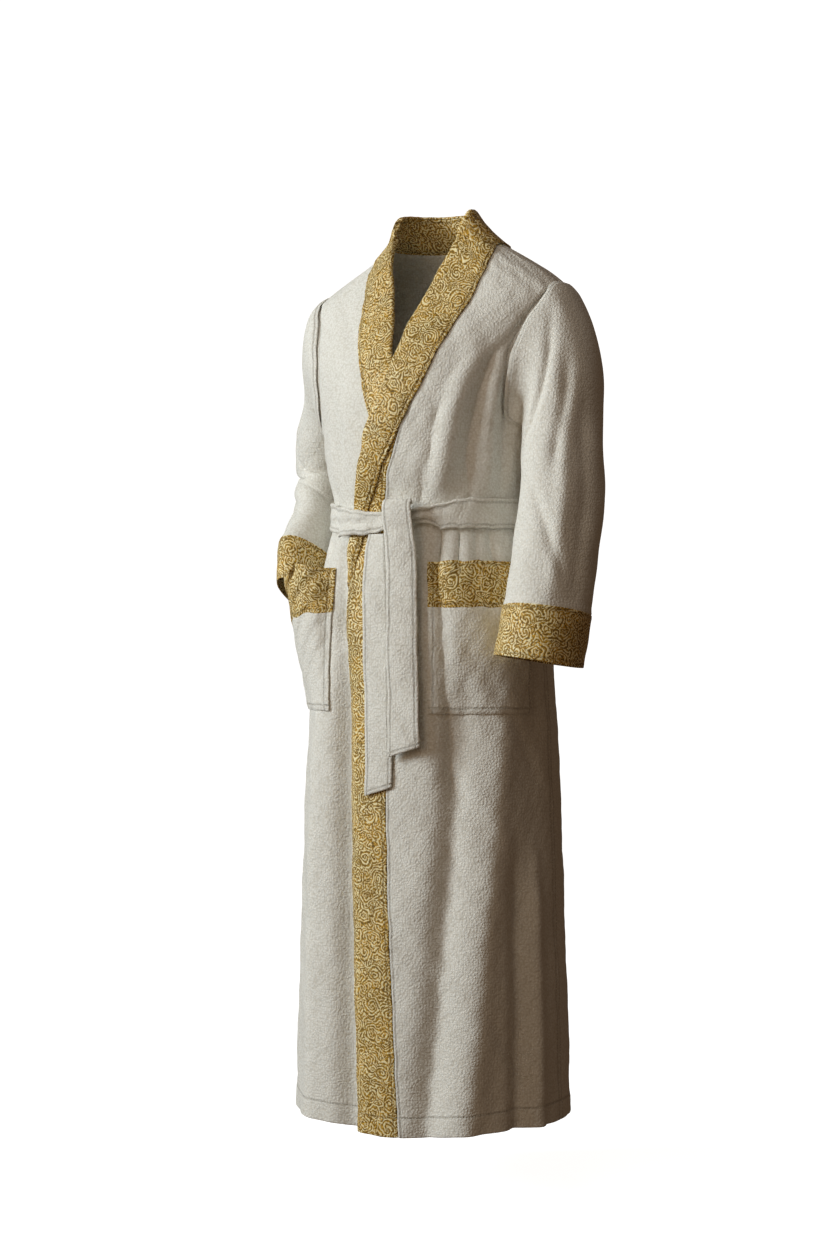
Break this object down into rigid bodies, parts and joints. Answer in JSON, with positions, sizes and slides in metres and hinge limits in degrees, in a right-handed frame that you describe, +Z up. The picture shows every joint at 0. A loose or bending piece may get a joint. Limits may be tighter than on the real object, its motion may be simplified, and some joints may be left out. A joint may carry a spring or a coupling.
{
  "type": "dressing gown",
  "caption": "Long wool dressing gown with brocade shawl collar, front bands, cuffs and pocket bands, tied with a cloth belt, in its hollow worn shape.",
  "frame": {"origin": "on the body axis at the height of the neck points, where the wearer's shoulders and neck hold the gown", "axes": "+Z up along the body, -Y out of the gown's front, +X to the wearer's left"},
  "size_m": [0.6227, 0.3747, 1.4464],
  "materials": {
    "cream_wool": "matt crepe nap",
    "gold_brocade": "matt ground with silky raised threads"
  },
  "bodies": {
    "root": {"back": "cream_wool", "front_left": "cream_wool", "front_right": "cream_wool", "sleeve_left": "cream_wool", "sleeve_right": "cream_wool", "pocket_left": "cream_wool", "pocket_right": "cream_wool", "belt": "cream_wool", "belt_knot": "cream_wool", "belt_tail_front": "cream_wool", "belt_tail_back": "cream_wool", "belt_loop_left": "cream_wool", "belt_loop_right": "cream_wool", "band_left": "gold_brocade", "band_right": "gold_brocade", "collar_left": "gold_brocade", "collar_right": "gold_brocade", "cuff_left": "gold_brocade", "cuff_right": "gold_brocade", "pocket_band_left": "gold_brocade", "pocket_band_right": "gold_brocade"}
  },
  "joints": []
}
